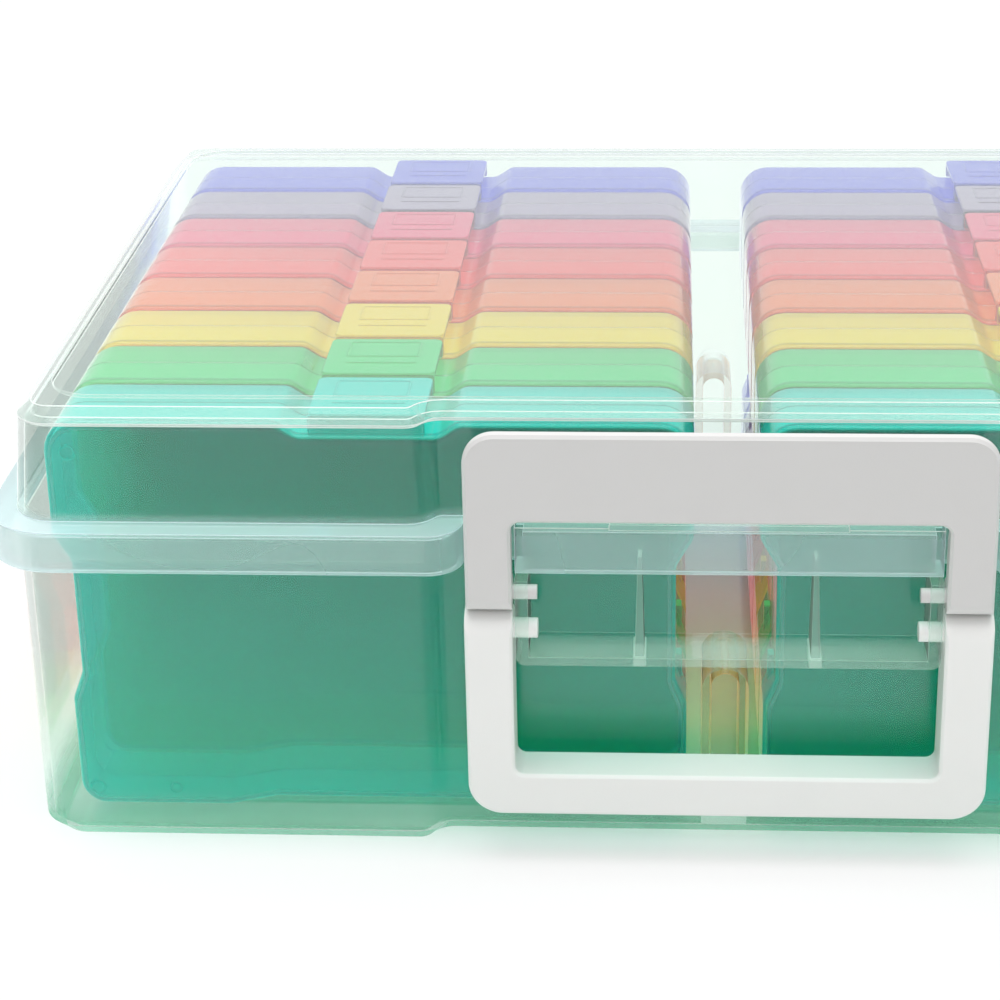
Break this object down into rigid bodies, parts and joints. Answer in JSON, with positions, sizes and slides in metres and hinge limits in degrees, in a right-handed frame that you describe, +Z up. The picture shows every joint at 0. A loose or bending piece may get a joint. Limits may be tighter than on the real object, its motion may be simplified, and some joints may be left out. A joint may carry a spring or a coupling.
{
  "type": "photo storage case",
  "caption": "Clear hinged carrying case with a white latch and drop handle, holding two columns of coloured lidded cases for photographs.",
  "frame": {"origin": "on the table, under the middle of the whole case", "axes": "+X along the case's length to its right, +Y from the latch to the hinge, +Z up"},
  "size_m": [0.3838, 0.2616, 0.1252],
  "materials": {
    "clear_plastic": "clear, slightly frosted moulded polypropylene",
    "white_plastic": "satin white moulded plastic",
    "teal_plastic": "translucent teal moulded polypropylene",
    "green_plastic": "translucent green moulded polypropylene",
    "yellow_plastic": "translucent yellow moulded polypropylene",
    "orange_plastic": "translucent orange moulded polypropylene",
    "coral_plastic": "translucent coral moulded polypropylene",
    "pink_plastic": "translucent pink moulded polypropylene",
    "grey_plastic": "translucent grey moulded polypropylene",
    "blue_plastic": "translucent blue moulded polypropylene"
  },
  "bodies": {
    "tub": {"tub": "clear_plastic", "teal_left_cover": "teal_plastic", "teal_left_tray": "teal_plastic", "teal_right_cover": "teal_plastic", "teal_right_tray": "teal_plastic", "green_left_cover": "green_plastic", "green_left_tray": "green_plastic", "green_right_cover": "green_plastic", "green_right_tray": "green_plastic", "yellow_left_cover": "yellow_plastic", "yellow_left_tray": "yellow_plastic", "yellow_right_cover": "yellow_plastic", "yellow_right_tray": "yellow_plastic", "orange_left_cover": "orange_plastic", "orange_left_tray": "orange_plastic", "orange_right_cover": "orange_plastic", "orange_right_tray": "orange_plastic", "coral_left_cover": "coral_plastic", "coral_left_tray": "coral_plastic", "coral_right_cover": "coral_plastic", "coral_right_tray": "coral_plastic", "pink_left_cover": "pink_plastic", "pink_left_tray": "pink_plastic", "pink_right_cover": "pink_plastic", "pink_right_tray": "pink_plastic", "grey_left_cover": "grey_plastic", "grey_left_tray": "grey_plastic", "grey_right_cover": "grey_plastic", "grey_right_tray": "grey_plastic", "blue_left_cover": "blue_plastic", "blue_left_tray": "blue_plastic", "blue_right_cover": "blue_plastic", "blue_right_tray": "blue_plastic"},
    "lid": {"lid": "clear_plastic"},
    "latch": {"latch": "white_plastic"},
    "carry_handle": {"carry_handle": "white_plastic"}
  },
  "joints": [
    {"name": "lid_hinge", "type": "hinge", "parent": "tub", "child": "lid", "pos_m": [0, 0.12724, 0.08], "axis": [-1, 0, 0], "range_deg": [0, 105]},
    {"name": "latch_pivot", "type": "hinge", "parent": "tub", "child": "latch", "pos_m": [0, -0.12624, 0.0796], "axis": [1, 0, 0], "range_deg": [0, 90]},
    {"name": "handle_pivot", "type": "hinge", "parent": "tub", "child": "carry_handle", "pos_m": [0, -0.12484, 0.0686], "axis": [-1, 0, 0], "range_deg": [0, 90]}
  ]
}
